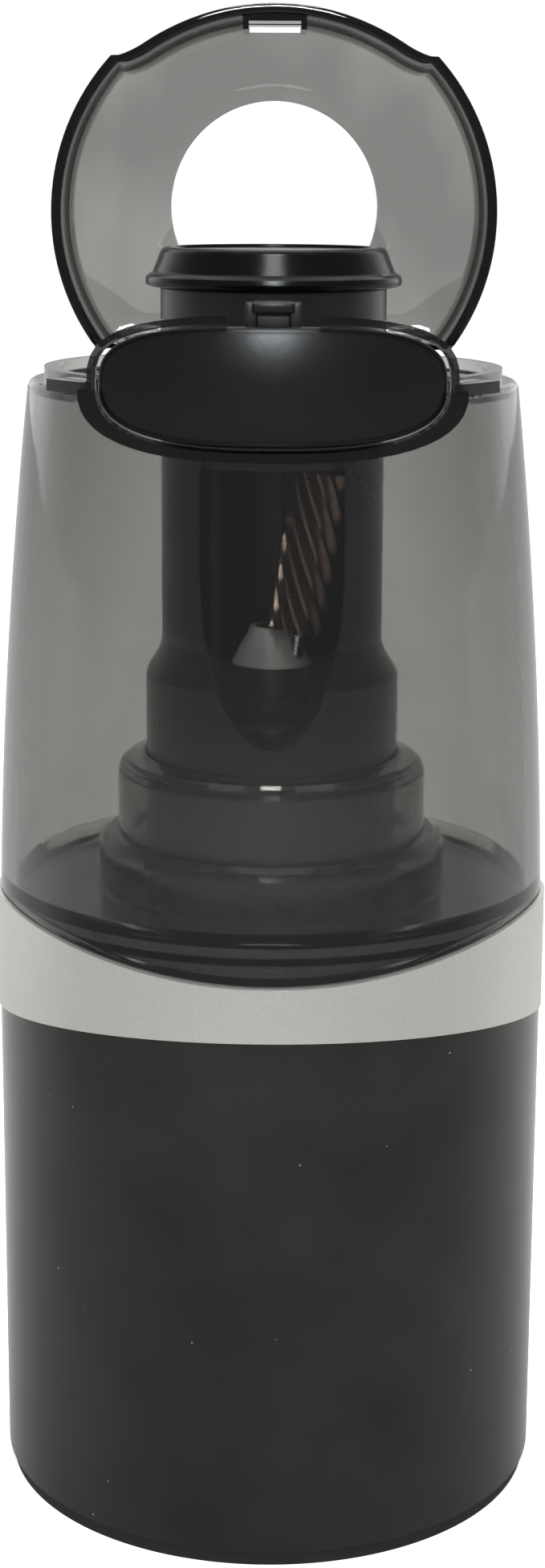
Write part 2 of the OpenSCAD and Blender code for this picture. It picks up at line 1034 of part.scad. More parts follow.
module pencil_guide() {
    color("#2a2a2b")
        rotate_extrude()
            polygon([
                [pencil_r, 159.4], [5.6, 159.4], [6.45, 162], [6.45, 176.9], [8.4, 177], [8.4, 178],
                [6.45, 178], [6.45, 180], [5.6, 180.3], [pencil_r, 179.2]
            ]);
}

// ---------- bin ----------

module shavings_bin() {
    color(smoke) {
        difference() {
            union() {
                difference() {
                    bin_barrel();
                    under_arch(arch_gap);
                }
                bin_floor_and_tube();
                bin_deck();
            }
            translate([0, 0, 60])
                cylinder(r = tube_in_r, h = 60);
        }
        translate([-3, 30, deck_z - 3.4])
            cube([6, 2.4, 4]);
    }
}

// The barrel wall with its shoulder and raised lip.
module bin_barrel() {
    rotate_extrude()
        difference() {
            union() {
                intersection() {
                    translate([body_r - barrel_r, barrel_z])
                        circle(r = barrel_r, $fn = barrel_fn);
                    translate([30, 70])
                        square([12, shoulder_z - 1 - 70]);
                }
                translate([lip_in_r, shoulder_z - 2])
                    square([barrel_at(shoulder_z) - lip_in_r - 1, 2]);
                translate([barrel_at(shoulder_z) - 1.02, shoulder_z - 1])
                    circle(r = 1, $fn = 32);
                translate([lip_in_r, shoulder_z - 0.5])
                    square([lip_r - lip_in_r, lip_z - shoulder_z + 0.5]);
            }
            intersection() {
                translate([body_r - barrel_r, barrel_z])
                    circle(r = barrel_r - bin_wall, $fn = barrel_fn);
                translate([-1, bin_floor_z + 1])
                    square([60, shoulder_z - 2 - bin_floor_z - 1]);
            }
            translate([-1, 60])
                square([skirt_r + 1, bin_floor_z - 60]);
        }
}

// The floor stays whole inside the shell. Its rim steps out into the wall above the arched joint.
module bin_floor_and_tube() {
    floor_r = shell_in_r - 0.3;
    rim_z = arch_z + arch_r + arch_gap + 0.1;
    rotate_extrude()
        polygon([
            [23.4, bin_floor_z], [floor_r, bin_floor_z], [floor_r, rim_z],
            [floor_r + 0.9, rim_z], [floor_r + 0.9, rim_z + 2],
            [floor_r - 0.3, rim_z + 2], [floor_r - 1.1, rim_z + 0.3],
            [floor_r - 1.8, bin_floor_z + bin_floor_t], [25.6, bin_floor_z + bin_floor_t],
            [25.2, bin_floor_z + 2.6], [25.2, 96.2], [24.8, 97.2], [23.9, 97.9], [tube_r, 98.2],
            [tube_r, 107], [22, 108.1], [21, 108.8], [tube_in_r - 1, 109.8],
            [tube_in_r - 1, 108], [20.4, 107.2], [tube_r - tube_t, 106.4],
            [tube_r - tube_t, 96.8], [22.6, 96.2], [23.4, 95.2]
        ]);
}

// Fixed deck behind the hinge, with the bin's hinge lugs.
module bin_deck() {
    difference() {
        union() {
            intersection() {
                translate([0, 0, lip_z - 1.9])
                    cylinder(r = lip_r - 0.5, h = 1.9);
                translate([-far, hinge_y + 2.4, 0])
                    cube([2 * far, far, far * 2]);
            }
            for (x = hinge_lug_x)
                translate([x, 0, 0])
                    hinge_lug(lug_w);
        }
        hinge_bore();
    }
}

module hinge_lug(w) {
    translate([0, hinge_y, hinge_z])
        rotate([0, 90, 0])
            cylinder(r = lug_r, h = w, $fn = 48);
    translate([0, hinge_y, hinge_z - lug_r])
        cube([w, 3.4, 1.4]);
}

module hinge_bore() {
    translate([-far, hinge_y, hinge_z])
        rotate([0, 90, 0])
            cylinder(r = hinge_pin_r + run_gap, h = 2 * far, $fn = 48);
}

module hinge_pin() {
    color(steel)
        translate([-21.8, hinge_y, hinge_z])
            rotate([0, 90, 0])
                cylinder(r = hinge_pin_r, h = 43.6, $fn = 48);
}

// Outline of the front plate: full round ends, a slightly bowed top and bottom.
function plate_outline(half_w, half_h) =
    let (power = 2.9)
    [
        for (a = [0:7.5:352.5])
            let (c = cos(a), s = sin(a))
            [
                half_w * sign(c) * pow(abs(c), 2 / power),
                plate_z + half_h * sign(s) * pow(abs(s), 2 / power)
            ]
    ];

module front_prism(points) {
    rotate([90, 0, 0])
        linear_extrude(height = 60)
            polygon(points);
}

module latch_bezel() {
    bezel_r = 39;
    color(smoke)
        difference() {
            union() {
                // The upper half stands free above the shoulder.
                intersection() {
                    tube(bezel_r - 0.2, bezel_r - 2.5, 12, plate_z - 1.2);
                    front_prism(plate_outline(plate_half_w + 1.6, plate_half_h + 1.4));
                }
                // The lower half is wider and grows out of the bin's wall.
                intersection() {
                    difference() {
                        translate([0, 0, plate_z - 11])
                            cylinder(r = bezel_r, h = 9.8);
                        intersection() {
                            translate([0, 0, 100])
                                cylinder(r = 36, h = 70);
                            bezel_seat();
                        }
                    }
                    front_prism(plate_outline(plate_half_w + 3, plate_half_h + 1.7));
                }
                // Short wings join the two halves to the bin's lip.
                for (s = [-1, 1])
                    intersection() {
                        tube(36.6, lip_r + 0.05, 1.6, plate_z - 1.8);
                        sector(-90 + s * 49, 7, 50, 10, plate_z - 5);
                    }
            }
            front_prism(plate_outline(plate_half_w + plate_gap, plate_half_h + plate_gap));
            translate([-6, -45, plate_z + 5])
                cube([12, 20, 20]);
        }
    color(smoke)
        difference() {
            for (s = [-1, 1])
                latch_lug(s);
            on_latch_axis(-20, 40, plate_pin_r);
            bezel_seat();
        }
}

// The part of the bin that the bezel stands on.
module bezel_seat() {
    rotate_extrude()
        intersection() {
            translate([body_r - barrel_r, barrel_z])
                circle(r = barrel_r, $fn = barrel_fn);
            translate([0, 100])
                square([60, 70]);
        }
}

// Round bar along X on the latch's pivot axis, from x0 to x0 + length.
module on_latch_axis(x0, length, r) {
    translate([x0, plate_pin_y, plate_z])
        rotate([0, 90, 0])
            cylinder(r = r, h = length, $fn = 32);
}

module latch_lug(side) {
    width = 1.6;
    x0 = side * 9.2 - width / 2;
    on_latch_axis(x0, width, 1.2);
    translate([x0, plate_pin_y - 1.2, plate_z - 3.4])
        cube([width, 3.6, 3.4]);
}

module latch_spring() {
    color(steel)
        translate([-2, 0, 0])
            rotate([90, 0, 90])
                linear_extrude(height = 4)
                    polygon([
                        [-34.7, 161], [-35.5, 158.4], [-36, 157.9], [-36.4, 158.6], [-36.4, 159.4],
                        [-36.2, 159.4], [-36.2, 158.7], [-35.9, 158.2], [-35.7, 158.6],
                        [-34.9, 161.1]
                    ]);
}

// ---------- latch ----------

module latch_plate() {
    color("#201f1f")
        difference() {
            union() {
                intersection() {
                    tube(plate_front_r, plate_front_r - 1.6, 30, plate_z - 15);
                    front_prism(plate_outline(plate_half_w, plate_half_h));
                }
                for (s = [-1, 1])
                    pivot_ear(s);
                latch_hook();
            }
            on_latch_axis(-20, 40, plate_pin_r + run_gap);
        }
}

module pivot_ear(side) {
    width = 1.6;
    x0 = side * 7.2 - width / 2;
    on_latch_axis(x0, width, 1.2);
    translate([x0, plate_pin_y - 3, plate_z - 1.2])
        cube([width, 3, 2.4]);
}

// Hook on the plate's upper edge: a bar with a recess, and a nose that reaches for the lid.
module latch_hook() {
    nose_t = 1.35;
    root_z = plate_z + 4.6;
    difference() {
        translate([-hook_half_w, -37.5, root_z])
            cube([2 * hook_half_w, 37.5 + nose_tip_y - nose_t, hook_top_z - root_z]);
        translate([-2.1, -38.6, 173.7])
            cube([4.2, 3.4, 1.3]);
        translate([-hook_half_w - 1, -60, plate_z + plate_half_h])
            cube([2 * hook_half_w + 2, 60 - 36, 20]);
        translate([-far, -60, 0])
            cube([2 * far, 60 - plate_front_r + 1, 300]);
    }
    translate([-hook_half_w, nose_tip_y - nose_t - eps, 174])
        cube([2 * hook_half_w, nose_t + eps, hook_top_z - 174]);
}

module latch_pin() {
    color(steel)
        on_latch_axis(-10.2, 20.4, plate_pin_r);
}

// ---------- lid ----------

// The lid's front edge in plan, at a distance x from the middle.
function front_edge(x) =
    let (
        on_arc = min(abs(x), curl_x),
        past = abs(x) - on_arc,
        slope = curl_x / sqrt(pow(front_arc_r, 2) - pow(curl_x, 2))
    )
    arch_front_y + front_arc_r - sqrt(pow(front_arc_r, 2) - pow(on_arc, 2))
        + slope * past - curl_bend * pow(past, 2);

// Space behind the lid's front wall out to end_x each side, set back by inset and leaning by
// lean about height z.
module behind_front(end_x, inset, lean, z) {
    steps = 24;
    front_y = -60;
    bell = [
        for (i = [0:steps])
            let (x = -end_x + i * 2 * end_x / steps)
            [x, front_edge(x) + inset]
    ];
    translate([0, arch_front_y, z])
        rotate([-lean, 0, 0])
            translate([0, -arch_front_y, -30])
                linear_extrude(height = 80)
                    polygon(concat(
                        [[-60, front_y], [-end_x, front_y]],
                        bell,
                        [[end_x, front_y], [60, front_y], [60, 60], [-60, 60]]
                    ));
}

// Half space in front of the plane y.
module in_front_of(y) {
    translate([-60, -60, 100])
        cube([120, 60 + y, 120]);
}

module lid_closed() {
    back_y = hinge_y - 0.2;
    ceiling_z = lid_top_z - lid_wall;
    edge_lean = 50;
    difference() {
        union() {
            intersection() {
                translate([0, lid_set_back, 0])
                    rotate_extrude()
                        polygon([
                            [0, lid_low_z], [lid_r, lid_low_z], [lid_r - 0.25, 178.9],
                            [lid_r - 0.5, 180.1], [lid_r - 1.2, 181.3], [lid_r - 2.2, 182.1],
                            [lid_r - 3.4, lid_top_z], [0, lid_top_z]
                        ]);
                behind_front(notch_x, 0, front_lean, lid_low_z);
                behind_front(lid_r + 2, 0, edge_lean, lid_top_z - 2);
                in_front_of(back_y);
            }
            for (x = [-17.2, 2.6])
                hinge_knuckle(x, 14.6);
        }
        difference() {
            intersection() {
                translate([0, lid_set_back, 0])
                    rotate_extrude()
                        polygon([
                            [0, lid_low_z - 1], [lid_r - lid_wall, lid_low_z - 1],
                            [lid_r - lid_wall - 0.3, 179.9], [lid_r - lid_wall - 0.6, 180.6],
                            [lid_r - lid_wall - 1.3, ceiling_z], [0, ceiling_z]
                        ]);
                behind_front(notch_x - lid_wall * 0.6, lid_wall, front_lean, lid_low_z);
                in_front_of(back_y - lid_wall);
            }
            catch_block();
        }
        translate([0, 0, 150])
            cylinder(r = lid_hole_r, h = 50);
        catch_window();
        for (x = hinge_lug_x)
            translate([x - lug_play, hinge_y, hinge_z])
                rotate([0, 90, 0])
                    cylinder(r = lug_r + 0.4, h = lug_w + 2 * lug_play, $fn = 48);
        hinge_bore();
    }
}

// Barrel of the lid's hinge, from x over a length.
module hinge_knuckle(x, length) {
    translate([x, hinge_y, hinge_z])
        rotate([0, 90, 0])
            cylinder(r = lug_r, h = length, $fn = 48);
    translate([x, hinge_y - lug_r, hinge_z])
        cube([length, lug_r - 0.2, 4]);
}

// Block behind the middle of the front wall, with a rib at each side.
module catch_block() {
    difference() {
        translate([-catch_half_w, arch_front_y + 1, lid_low_z + 0.3])
            cube([2 * catch_half_w, 2.75, 20]);
        translate([-catch_slot_half_w, arch_front_y + 2.7, 150])
            cube([2 * catch_slot_half_w, 5, 50]);
    }
}

// The window that the hook's nose enters, and the moulding slot above it.
module catch_window() {
    translate([-catch_slot_half_w, arch_front_y - 5, 173.7])
        cube([2 * catch_slot_half_w, 12, 2.9]);
    translate([-catch_slot_half_w, arch_front_y + 2.55, 176])
        cube([2 * catch_slot_half_w, 0.9, 20]);
}

module lid() {
    color(smoke)
        translate([0, hinge_y, hinge_z])
            rotate([-lid_open_deg, 0, 0])
                translate([0, -hinge_y, -hinge_z])
                    lid_closed();
}

base_shell();
silver_band();
foot_ring();
base_plate();
base_screws();
battery_holder();
aa_cells();
top_contacts();
motor_can();
motor_magnets();
motor_endcap();
gear_plate_lower();
gear_plate_upper();
gear_screws();
idler_axle();
shaft_bushing();
deck();
deck_screws();
column_housing();
column_screws();
column_bushing();
ring_gear();
start_switch();
interlock_switch();
lead_red();
lead_black();
battery_door();
door_contacts();
battery_springs();
shavings_bin();
latch_bezel();
hinge_pin();
latch_spring();
latch_plate();
latch_pin();
lid();
guide_cap();
pencil_guide();
thrust_cup();
return_spring();
drive_shaft();
output_gear();
cutter_carrier();
cutter_axle();
axle_clip();
helical_cutter();
cutter_pinion();
compound_gear();
motor_shaft();
motor_pinion();
motor_armature();
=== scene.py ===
import math

import bmesh
import bpy
from mathutils import Matrix, Vector


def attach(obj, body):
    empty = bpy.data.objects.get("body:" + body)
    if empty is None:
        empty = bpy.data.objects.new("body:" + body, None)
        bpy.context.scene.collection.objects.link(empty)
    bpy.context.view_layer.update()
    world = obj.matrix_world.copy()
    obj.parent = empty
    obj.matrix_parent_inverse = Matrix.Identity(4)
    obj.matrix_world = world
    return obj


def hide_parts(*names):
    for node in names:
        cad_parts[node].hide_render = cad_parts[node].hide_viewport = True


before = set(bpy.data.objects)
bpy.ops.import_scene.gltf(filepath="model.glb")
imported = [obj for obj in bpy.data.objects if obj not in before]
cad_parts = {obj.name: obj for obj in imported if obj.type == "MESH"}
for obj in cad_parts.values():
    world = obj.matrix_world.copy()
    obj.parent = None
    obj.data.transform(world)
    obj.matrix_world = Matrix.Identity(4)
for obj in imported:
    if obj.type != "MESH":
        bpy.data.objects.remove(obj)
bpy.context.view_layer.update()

MM = 0.001


# ---------- camera, lights and stage ----------

def make_camera():
    """Looks at the front from a little above, from 37 cm away."""
    data = bpy.data.cameras.new("Camera")
    camera = bpy.data.objects.new("Camera", data)
    bpy.context.scene.collection.objects.link(camera)
    data.sensor_fit = "AUTO"
    data.sensor_width = 36
    data.lens = 59.73
    data.clip_start = 0.01
    data.clip_end = 50
    down_tilt = 13.3
    pitch = math.radians(90 - down_tilt)
    roll = math.radians(0.29)
    camera.matrix_world = (
        Matrix.Translation(Vector((0.19, -371.6, 191.9)) * MM)
        @ Matrix.Rotation(pitch, 4, "X")
        @ Matrix.Rotation(roll, 4, "Z")
    )
    bpy.context.scene.camera = camera


def area_light(name, place, target, size, power, colour=(1, 1, 1)):
    data = bpy.data.lights.new(name, "AREA")
    data.shape = "RECTANGLE"
    data.size = size[0]
    data.size_y = size[1]
    data.energy = power
    data.color = colour
    light = bpy.data.objects.new(name, data)
    light.location = place
    aim = Vector(target) - Vector(place)
    light.rotation_euler = aim.to_track_quat("-Z", "Y").to_euler()
    bpy.context.scene.collection.objects.link(light)


def make_world():
    """White to the camera; to all else, bright behind the object and dim behind the camera."""
    world = bpy.data.worlds.new("World")
    bpy.context.scene.world = world
    world.use_nodes = True
    tree = world.node_tree
    nodes = tree.nodes
    links = tree.links
    nodes.clear()
    coord = nodes.new("ShaderNodeTexCoord")
    split = nodes.new("ShaderNodeSeparateXYZ")
    ramp = nodes.new("ShaderNodeValToRGB")
    shift = nodes.new("ShaderNodeMapRange")
    shift.inputs["From Min"].default_value = -1
    path = nodes.new("ShaderNodeLightPath")
    pick = nodes.new("ShaderNodeMix")
    pick.data_type = "RGBA"
    background = nodes.new("ShaderNodeBackground")
    out = nodes.new("ShaderNodeOutputWorld")
    # How bright each direction is, from straight behind the camera (0) to straight ahead (1).
    ramp.color_ramp.interpolation = "EASE"
    stops = ramp.color_ramp.elements
    stops[0].position = 0.0
    stops[0].color = (0.3, 0.3, 0.31, 1)
    stops[1].position = 1.0
    stops[1].color = (1.42, 1.42, 1.42, 1)
    for place, level in ((0.35, 0.27), (0.55, 0.3), (0.7, 0.66), (0.85, 1.42)):
        stop = stops.new(place)
        stop.color = (level, level, level, 1)
    pick.inputs[7].default_value = (1.05, 1.05, 1.05, 1)
    links.new(coord.outputs["Generated"], split.inputs[0])
    links.new(split.outputs["Y"], shift.inputs["Value"])
    links.new(shift.outputs[0], ramp.inputs[0])
    links.new(path.outputs["Is Camera Ray"], pick.inputs[0])
    links.new(ramp.outputs[0], pick.inputs[6])
    links.new(pick.outputs[2], background.inputs["Color"])
    # Glancing reflections off the top faces see the backdrop dimmer than the clear parts show it.
    ahead = nodes.new("ShaderNodeMapRange")
    ahead.inputs["From Min"].default_value = 0.95
    ahead.inputs["From Max"].default_value = 0.995
    ahead.inputs["To Max"].default_value = 0.65
    ahead.inputs["To Min"].default_value = 0.0
    links.new(split.outputs["Y"], ahead.inputs["Value"])
    dimming = nodes.new("ShaderNodeMath")
    dimming.operation = "MULTIPLY"
    links.new(ahead.outputs[0], dimming.inputs[0])
    links.new(path.outputs["Is Reflection Ray"], dimming.inputs[1])
    strength = nodes.new("ShaderNodeMath")
    strength.operation = "SUBTRACT"
    strength.inputs[0].default_value = 1.0
    links.new(dimming.outputs[0], strength.inputs[1])
    links.new(strength.outputs[0], background.inputs["Strength"])
    links.new(background.outputs[0], out.inputs["Surface"])


def make_floor():
    """A white floor that is dimmer in reflections than it is in plain view."""
    bpy.ops.mesh.primitive_plane_add(size=6, location=(0, 0, -0.02 * MM))
    floor = bpy.context.object
    floor.name = "floor"
    material = bpy.data.materials.new("floor")
    material.use_nodes = True
    nodes = material.node_tree.nodes
    links = material.node_tree.links
    shader = nodes["Principled BSDF"]
    shader.inputs["Roughness"].default_value = 0.8
    shader.inputs["Specular IOR Level"].default_value = 0
    shader.inputs["Emission Color"].default_value = (1, 1, 1, 1)
    path = nodes.new("ShaderNodeLightPath")
    mirrored = nodes.new("ShaderNodeMath")
    mirrored.operation = "MULTIPLY"
    tone = nodes.new("ShaderNodeMix")
    tone.data_type = "RGBA"
    tone.inputs[6].default_value = (0.9, 0.9, 0.89, 1)
    tone.inputs[7].default_value = (0.2, 0.2, 0.19, 1)
    glow = nodes.new("ShaderNodeMix")
    glow.inputs[2].default_value = 0.6
    # In gloss the floor is darker in front of the object and brighter behind it.
    place = nodes.new("ShaderNodeTexCoord")
    split = nodes.new("ShaderNodeSeparateXYZ")
    depth = nodes.new("ShaderNodeMapRange")
    depth.inputs["From Min"].default_value = -0.06
    depth.inputs["From Max"].default_value = 0.11
    depth.inputs["To Min"].default_value = 0.17
    depth.inputs["To Max"].default_value = 0.55
    links.new(place.outputs["Object"], split.inputs[0])
    links.new(split.outputs["Y"], depth.inputs["Value"])
    links.new(depth.outputs[0], glow.inputs[3])
    links.new(path.outputs["Is Glossy Ray"], mirrored.inputs[0])
    links.new(path.outputs["Is Reflection Ray"], mirrored.inputs[1])
    links.new(mirrored.outputs[0], tone.inputs[0])
    links.new(mirrored.outputs[0], glow.inputs[0])
    links.new(tone.outputs[2], shader.inputs["Base Color"])
    links.new(glow.outputs[0], shader.inputs["Emission Strength"])
    floor.data.materials.append(material)


# ---------- materials ----------

class Surface:
    """A Principled material with short helpers for its node tree."""

    def __init__(self, name, colour, rough=0.4, metal=0.0):
        self.material = bpy.data.materials.new(name)
        self.material.use_nodes = True
        self.nodes = self.material.node_tree.nodes
        self.links = self.material.node_tree.links
        self.shader = self.nodes["Principled BSDF"]
        self.shader.inputs["Base Color"].default_value = (*colour, 1)
        self.shader.inputs["Roughness"].default_value = rough
        self.shader.inputs["Metallic"].default_value = metal
        self.coord = self.nodes.new("ShaderNodeTexCoord")
        self.normal = None

    def noise(self, scale, detail=4.0, rough=0.55, stretch=(1, 1, 1)):
        mapping = self.nodes.new("ShaderNodeMapping")
        mapping.inputs["Scale"].default_value = stretch
        self.links.new(self.coord.outputs["Object"], mapping.inputs["Vector"])
        texture = self.nodes.new("ShaderNodeTexNoise")
        texture.inputs["Scale"].default_value = scale
        texture.inputs["Detail"].default_value = detail
        texture.inputs["Roughness"].default_value = rough
        self.links.new(mapping.outputs[0], texture.inputs["Vector"])
        return texture.outputs["Fac"]

    def specks(self, scale, radius):
        """1 on small round specks scattered about, 0 elsewhere."""
        texture = self.nodes.new("ShaderNodeTexVoronoi")
        texture.inputs["Scale"].default_value = scale
        self.links.new(self.coord.outputs["Object"], texture.inputs["Vector"])
        return self.ranged(texture.outputs["Distance"], radius, radius * 0.6, 0, 1)

    def ranged(self, value, low, high, to_low, to_high):
        node = self.nodes.new("ShaderNodeMapRange")
        node.inputs["From Min"].default_value = low
        node.inputs["From Max"].default_value = high
        node.inputs["To Min"].default_value = to_low
        node.inputs["To Max"].default_value = to_high
        self.links.new(value, node.inputs["Value"])
        return node.outputs[0]

    def times(self, a, b):
        node = self.nodes.new("ShaderNodeMath")
        node.operation = "MULTIPLY"
        self.links.new(a, node.inputs[0])
        self.links.new(b, node.inputs[1])
        return node.outputs[0]

    def plus(self, a, b):
        node = self.nodes.new("ShaderNodeMath")
        node.operation = "ADD"
        node.use_clamp = True
        self.links.new(a, node.inputs[0])
        self.links.new(b, node.inputs[1])
        return node.outputs[0]

    def colour_mix(self, factor, low, high):
        node = self.nodes.new("ShaderNodeMix")
        node.data_type = "RGBA"
        node.inputs[6].default_value = (*low, 1)
        node.inputs[7].default_value = (*high, 1)
        self.links.new(factor, node.inputs[0])
        self.links.new(node.outputs[2], self.shader.inputs["Base Color"])

    def roughness(self, value):
        self.links.new(value, self.shader.inputs["Roughness"])

    def soft_edges(self, radius):
        """Catches light along hard edges as if they were rounded to this radius."""
        node = self.nodes.new("ShaderNodeBevel")
        node.samples = 4
        node.inputs["Radius"].default_value = radius
        self.normal = node.outputs["Normal"]
        self.links.new(self.normal, self.shader.inputs["Normal"])

    def bump(self, value, strength, distance):
        node = self.nodes.new("ShaderNodeBump")
        node.inputs["Strength"].default_value = strength
        node.inputs["Distance"].default_value = distance
        self.links.new(value, node.inputs["Height"])
        if self.normal is not None:
            self.links.new(self.normal, node.inputs["Normal"])
        self.normal = node.outputs["Normal"]
        self.links.new(self.normal, self.shader.inputs["Normal"])


def gloss_black():
    """The base shell: smooth moulded plastic with faint handling marks and dust."""
    s = Surface("gloss_black", (0.007, 0.0067, 0.0055), 0.16)
    dust = s.times(s.specks(330, 0.055), s.ranged(s.noise(90, 2), 0.52, 0.6, 0, 1))
    cloud = s.ranged(s.noise(60, 5), 0.3, 0.7, 0, 0.02)
    s.colour_mix(s.plus(cloud, dust), (0.0062, 0.0058, 0.0046), (0.3, 0.29, 0.26))
    smear = s.ranged(s.noise(28, 5, 0.6, (1, 1, 0.4)), 0.35, 0.75, 0.11, 0.2)
    s.roughness(smear)
    s.bump(s.noise(420, 2), 0.05, 0.1 * MM)
    s.shader.inputs["IOR"].default_value = 1.5
    return s.material


def satin_black(name="satin_black", low=0.22, high=0.38, tone=(0.011, 0.0107, 0.0105), shine=0.45):
    """Semi-gloss black plastic of the column, deck and cap."""
    s = Surface(name, tone, 0.3)
    s.shader.inputs["Specular IOR Level"].default_value = shine
    s.soft_edges(0.35 * MM)
    s.colour_mix(s.noise(70, 4), tuple(c * 0.85 for c in tone), tuple(c * 1.25 for c in tone))
    s.roughness(s.ranged(s.noise(45, 5), 0.3, 0.7, low, high))
    s.bump(s.noise(900, 3), 0.12, 0.1 * MM)
    return s.material


def silver_paint():
    """Warm silver paint: fine flake in a soft clear coat."""
    s = Surface("silver_paint", (0.5, 0.49, 0.46), 0.4, 0.7)
    flake = s.noise(2600, 2)
    cloud = s.noise(30, 3)
    s.colour_mix(s.plus(s.ranged(flake, 0.3, 0.7, 0, 0.5), s.ranged(cloud, 0.3, 0.7, 0, 0.5)),
                 (0.52, 0.507, 0.475), (0.63, 0.61, 0.575))
    s.roughness(s.ranged(flake, 0.3, 0.7, 0.32, 0.44))
    s.bump(flake, 0.08, 0.05 * MM)
    s.shader.inputs["Coat Weight"].default_value = 0.25
    s.shader.inputs["Coat Roughness"].default_value = 0.2
    return s.material


def smoke_clear(name, depth, wave=0.12, haze=0.97):
    """Smoke-tinted clear plastic: darker where thicker, with faces that wave and cloud a little."""
    s = Surface(name, (0.98, 0.98, 0.98), 0.02)
    cloud = s.ranged(s.noise(48, 2.5, 0.5, (1, 1, 0.6)), 0.4, 0.68, 0, 1)
    s.colour_mix(cloud, (haze, haze, haze), (1, 1, 1))
    s.shader.inputs["Transmission Weight"].default_value = 1.0
    s.shader.inputs["IOR"].default_value = 1.5
    s.roughness(s.ranged(s.noise(35, 5), 0.3, 0.75, 0.015, 0.07))
    s.bump(s.noise(55, 2), wave, 0.4 * MM)
    absorb = s.nodes.new("ShaderNodeVolumeAbsorption")
    absorb.inputs["Color"].default_value = (0.09, 0.085, 0.06, 1)
    absorb.inputs["Density"].default_value = depth
    s.links.new(absorb.outputs[0], s.nodes["Material Output"].inputs["Volume"])
    return s.material


def rubber():
    s = Surface("foot_rubber", (0.012, 0.012, 0.012), 0.6)
    s.shader.inputs["Specular IOR Level"].default_value = 0.3
    s.colour_mix(s.noise(120, 4), (0.009, 0.009, 0.009), (0.016, 0.016, 0.016))
    s.bump(s.noise(1500, 3), 0.3, 0.1 * MM)
    return s.material


def plastic(name, tone, low=0.35, high=0.55):
    s = Surface(name, tone, (low + high) / 2)
    s.colour_mix(s.noise(80, 4), tuple(c * 0.85 for c in tone), tuple(c * 1.12 for c in tone))
    s.roughness(s.ranged(s.noise(60, 4), 0.3, 0.7, low, high))
    s.bump(s.noise(1200, 3), 0.15, 0.1 * MM)
    return s.material


def metal(name, tone, low=0.2, high=0.4, stretch=(1, 1, 12)):
    """Machined metal with fine tool lines across it."""
    s = Surface(name, tone, (low + high) / 2, 1.0)
    lines = s.noise(700, 3, 0.6, stretch)
    s.colour_mix(s.noise(90, 4), tuple(c * 0.8 for c in tone), tone)
    s.roughness(s.ranged(lines, 0.3, 0.7, low, high))
    s.bump(lines, 0.2, 0.05 * MM)
    return s.material


def cell_jacket():
    s = Surface("cell_jacket", (0.09, 0.13, 0.17), 0.3)
    s.colour_mix(s.noise(50, 3), (0.07, 0.11, 0.15), (0.12, 0.16, 0.2))
    s.bump(s.noise(500, 2), 0.1, 0.1 * MM)
    return s.material


def dress(material, *names):
    """Gives CAD nodes a material in place of the plain one they were packed with."""
    for name in names:
        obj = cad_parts[name]
        obj.data.materials.clear()
        obj.data.materials.append(material)


def dress_cad():
    dress(gloss_black(), "base_shell")
    satin = satin_black()
    dress(satin, "column_housing", "deck", "battery_door", "base_plate")
    cap = satin_black("cap_black", 0.16, 0.26, (0.002, 0.0018, 0.0016), 0.22)
    dress(cap, "guide_cap", "pencil_guide")
    dress(silver_paint(), "silver_band")
    dress(rubber(), "foot_ring")
    dress(smoke_clear("smoke_bin", 385, 0.08, 0.94), "shavings_bin")
    dress(smoke_clear("smoke_bezel", 1200), "latch_bezel")
    dark = plastic("dark_frame", (0.02, 0.022, 0.025))
    dress(dark, "battery_holder", "gear_plate_lower", "gear_plate_upper", "start_switch",
          "interlock_switch")
    dress(plastic("carrier_brown", (0.03, 0.018, 0.014), 0.3, 0.5), "cutter_carrier")
    dress(dark, "ring_gear")
    steel = metal("steel", (0.58, 0.58, 0.59))
    dress(steel, "base_screws", "gear_screws", "deck_screws", "column_screws", "motor_can",
          "motor_shaft", "drive_shaft", "idler_axle", "cutter_axle", "axle_clip", "hinge_pin",
          "latch_pin")
    spring = metal("spring_steel", (0.66, 0.66, 0.67), 0.12, 0.25)
    dress(spring, "battery_springs", "return_spring", "latch_spring", "door_contacts",
          "top_contacts")
    dress(metal("cutter_steel", (0.2, 0.14, 0.11), 0.14, 0.28), "helical_cutter")
    dress(metal("brass", (0.62, 0.44, 0.2)), "shaft_bushing", "column_bushing", "motor_pinion",
          "cutter_pinion")
    dress(plastic("acetal", (0.72, 0.7, 0.63)), "output_gear", "compound_gear",
          "thrust_cup", "motor_endcap")
    dress(plastic("magnet", (0.06, 0.06, 0.065), 0.6, 0.8), "motor_magnets")
    dress(metal("copper", (0.6, 0.28, 0.14)), "motor_armature")
    dress(cell_jacket(), "aa_cells")
    dress(plastic("wire_red", (0.4, 0.03, 0.02)), "lead_red")
    dress(plastic("wire_black", (0.02, 0.02, 0.02)), "lead_black")


# ---------- pieces made here, and what makes them ----------

def mesh_object(name, points, faces, material):
    """A smooth-shaded object from points in millimetres."""
    mesh = bpy.data.meshes.new(name)
    mesh.from_pydata([Vector(p) * MM for p in points], [], faces)
    mesh.validate()
    mesh.materials.append(material)
    bm = bmesh.new()
    bm.from_mesh(mesh)
    bmesh.ops.recalc_face_normals(bm, faces=bm.faces)
    bm.to_mesh(mesh)
    bm.free()
    mesh.shade_smooth()
    obj = bpy.data.objects.new(name, mesh)
    bpy.context.scene.collection.objects.link(obj)
    return obj


